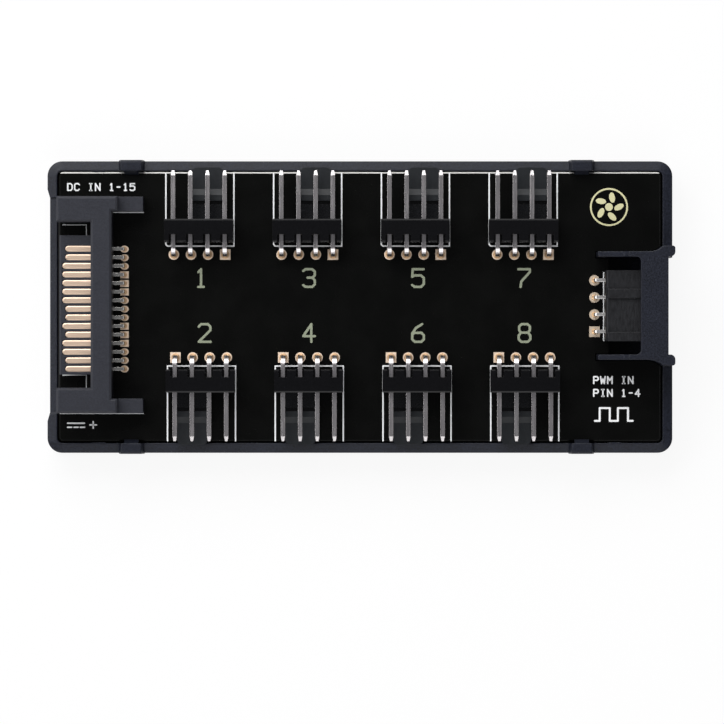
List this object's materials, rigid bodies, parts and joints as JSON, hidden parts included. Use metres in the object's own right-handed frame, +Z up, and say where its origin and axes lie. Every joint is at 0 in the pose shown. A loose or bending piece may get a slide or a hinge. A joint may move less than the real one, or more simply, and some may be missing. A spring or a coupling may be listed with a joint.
{
  "type": "fan hub",
  "caption": "Flat fan hub: an open moulded tray with a snap-in board that carries right-angle fan headers, a power connector and a hooded control socket.",
  "frame": {"origin": "middle of the tray's flat underside, centred on the hub's overall length and width", "axes": "+X from the power connector to the control socket, +Y towards the odd-numbered fan headers, +Z up out of the board"},
  "size_m": [0.0928, 0.0436, 0.0143],
  "materials": {
    "case_plastic": "fine moulded texture",
    "board_mask": "black solder mask",
    "header_plastic": "satin moulded",
    "socket_plastic": "satin moulded",
    "power_plastic": "satin moulded",
    "pin_metal": "tin plate",
    "tail_metal": "bright tin plate",
    "contact_metal": "thin gold plate",
    "pad_plating": "gold plate on copper",
    "line_print": "white board print",
    "number_print": "pale green board print"
  },
  "bodies": {
    "root": {"case_tray": "case_plastic", "circuit_board": "board_mask", "fan_header_1": "header_plastic", "fan_1_ground_pin": "pin_metal", "fan_1_power_pin": "pin_metal", "fan_1_tach_pin": "pin_metal", "fan_1_pwm_pin": "pin_metal", "fan_header_2": "header_plastic", "fan_2_ground_pin": "pin_metal", "fan_2_power_pin": "pin_metal", "fan_2_tach_pin": "pin_metal", "fan_2_pwm_pin": "pin_metal", "fan_header_3": "header_plastic", "fan_3_ground_pin": "pin_metal", "fan_3_power_pin": "pin_metal", "fan_3_tach_pin": "pin_metal", "fan_3_pwm_pin": "pin_metal", "fan_header_4": "header_plastic", "fan_4_ground_pin": "pin_metal", "fan_4_power_pin": "pin_metal", "fan_4_tach_pin": "pin_metal", "fan_4_pwm_pin": "pin_metal", "fan_header_5": "header_plastic", "fan_5_ground_pin": "pin_metal", "fan_5_power_pin": "pin_metal", "fan_5_tach_pin": "pin_metal", "fan_5_pwm_pin": "pin_metal", "fan_header_6": "header_plastic", "fan_6_ground_pin": "pin_metal", "fan_6_power_pin": "pin_metal", "fan_6_tach_pin": "pin_metal", "fan_6_pwm_pin": "pin_metal", "fan_header_7": "header_plastic", "fan_7_ground_pin": "pin_metal", "fan_7_power_pin": "pin_metal", "fan_7_tach_pin": "pin_metal", "fan_7_pwm_pin": "pin_metal", "fan_header_8": "header_plastic", "fan_8_ground_pin": "pin_metal", "fan_8_power_pin": "pin_metal", "fan_8_tach_pin": "pin_metal", "fan_8_pwm_pin": "pin_metal", "control_socket": "socket_plastic", "control_ground_contact": "tail_metal", "control_power_contact": "tail_metal", "control_tach_contact": "tail_metal", "control_pwm_contact": "tail_metal", "power_housing": "power_plastic", "power_3v3_contacts": "contact_metal", "power_ground_contacts": "contact_metal", "power_5v_contacts": "contact_metal", "power_return_contacts": "contact_metal", "power_12v_contacts": "contact_metal"}
  },
  "joints": []
}
